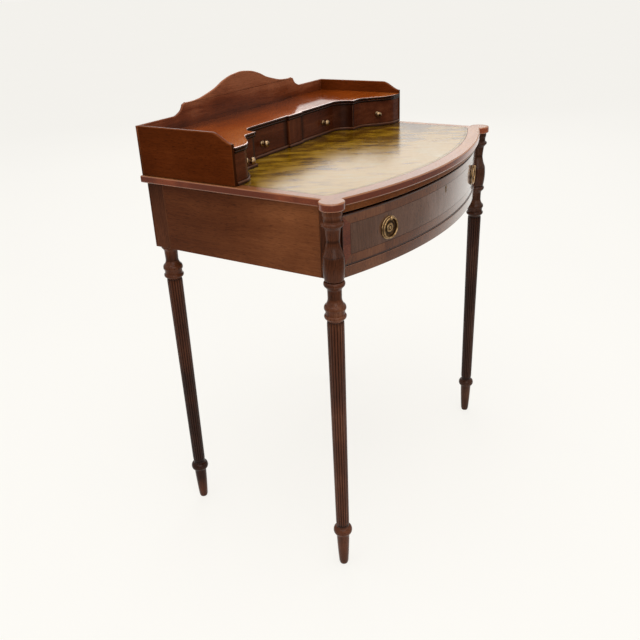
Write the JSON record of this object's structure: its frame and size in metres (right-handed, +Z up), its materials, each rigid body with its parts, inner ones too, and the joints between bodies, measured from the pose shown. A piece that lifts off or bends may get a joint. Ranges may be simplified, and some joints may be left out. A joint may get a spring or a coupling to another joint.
{
  "type": "writing desk",
  "caption": "Bow-fronted writing table on slender reeded turned legs, with a leather-lined top, a long drawer and a low drawer superstructure under a shaped gallery.",
  "frame": {"origin": "centre of the desk's bounding box, on the floor", "axes": "+X to the sitter's right as they face the desk, +Y from the bowed front to the back, +Z up"},
  "size_m": [0.7038, 0.495, 0.909],
  "materials": {
    "mahogany": "french-polished mahogany",
    "mahogany_light": "french-polished mahogany, faded where the light reaches it",
    "mahogany_dark": "dark french-polished mahogany",
    "leather": "waxed hide with a tooled border",
    "brass": "lacquered brass, a little dulled",
    "drawer_lining": "unpolished drawer lining",
    "carcass_wood": "plain secondary wood"
  },
  "bodies": {
    "body": {"top_board": "mahogany_light", "leather_panel": "leather", "leg_front_left": "mahogany_dark", "leg_front_right": "mahogany_dark", "leg_back_left": "mahogany_dark", "leg_back_right": "mahogany_dark", "apron_left": "mahogany", "apron_right": "mahogany", "back_rail": "mahogany_dark", "top_rail": "mahogany", "bottom_rail": "mahogany", "runner_left": "carcass_wood", "runner_right": "carcass_wood", "kicker_left": "carcass_wood", "kicker_right": "carcass_wood", "gallery_back": "mahogany", "gallery_side_left": "mahogany", "gallery_side_right": "mahogany", "deck": "mahogany_light", "superstructure_base": "mahogany_dark", "pilaster": "mahogany_dark", "partition_center_left": "mahogany_dark", "partition_center_right": "mahogany_dark", "partition_left": "mahogany_dark", "partition_right": "mahogany_dark"},
    "long_drawer": {"drawer_front": "mahogany_dark", "drawer_side_left": "drawer_lining", "drawer_side_right": "drawer_lining", "drawer_back": "drawer_lining", "drawer_bottom": "drawer_lining", "drawer_lock": "brass", "escutcheon": "brass", "pull_plate_left": "brass", "pull_plate_right": "brass"},
    "ring_left": {"pull_ring_left": "brass"},
    "ring_right": {"pull_ring_right": "brass"},
    "inner_drawer_left": {"inner_drawer_left_front": "mahogany_dark", "inner_drawer_left_side_left": "drawer_lining", "inner_drawer_left_side_right": "drawer_lining", "inner_drawer_left_back": "drawer_lining", "inner_drawer_left_bottom": "drawer_lining", "inner_drawer_left_knob": "brass"},
    "inner_drawer_right": {"inner_drawer_right_front": "mahogany_dark", "inner_drawer_right_side_left": "drawer_lining", "inner_drawer_right_side_right": "drawer_lining", "inner_drawer_right_back": "drawer_lining", "inner_drawer_right_bottom": "drawer_lining", "inner_drawer_right_knob": "brass"},
    "outer_drawer_left": {"outer_drawer_left_front": "mahogany_dark", "outer_drawer_left_side_left": "drawer_lining", "outer_drawer_left_side_right": "drawer_lining", "outer_drawer_left_back": "drawer_lining", "outer_drawer_left_bottom": "drawer_lining", "outer_drawer_left_knob": "brass"},
    "outer_drawer_right": {"outer_drawer_right_front": "mahogany_dark", "outer_drawer_right_side_left": "drawer_lining", "outer_drawer_right_side_right": "drawer_lining", "outer_drawer_right_back": "drawer_lining", "outer_drawer_right_bottom": "drawer_lining", "outer_drawer_right_knob": "brass"}
  },
  "joints": [
    {"name": "long_drawer_slide", "type": "slide", "parent": "body", "child": "long_drawer", "axis": [0, -1, 0], "range_m": [0, 0.26]},
    {"name": "inner_drawer_left_slide", "type": "slide", "parent": "body", "child": "inner_drawer_left", "axis": [0, -1, 0], "range_m": [0, 0.085]},
    {"name": "inner_drawer_right_slide", "type": "slide", "parent": "body", "child": "inner_drawer_right", "axis": [0, -1, 0], "range_m": [0, 0.085]},
    {"name": "outer_drawer_left_slide", "type": "slide", "parent": "body", "child": "outer_drawer_left", "axis": [0, -1, 0], "range_m": [0, 0.13]},
    {"name": "outer_drawer_right_slide", "type": "slide", "parent": "body", "child": "outer_drawer_right", "axis": [0, -1, 0], "range_m": [0, 0.13]},
    {"name": "ring_left_hinge", "type": "hinge", "parent": "long_drawer", "child": "ring_left", "pos_m": [-0.1991, -0.21583, 0.6995], "axis": [-0.9726, 0.2325, 0], "range_deg": [0, 85]},
    {"name": "ring_right_hinge", "type": "hinge", "parent": "long_drawer", "child": "ring_right", "pos_m": [0.1991, -0.21583, 0.6995], "axis": [-0.9726, -0.2325, 0], "range_deg": [0, 85]}
  ]
}
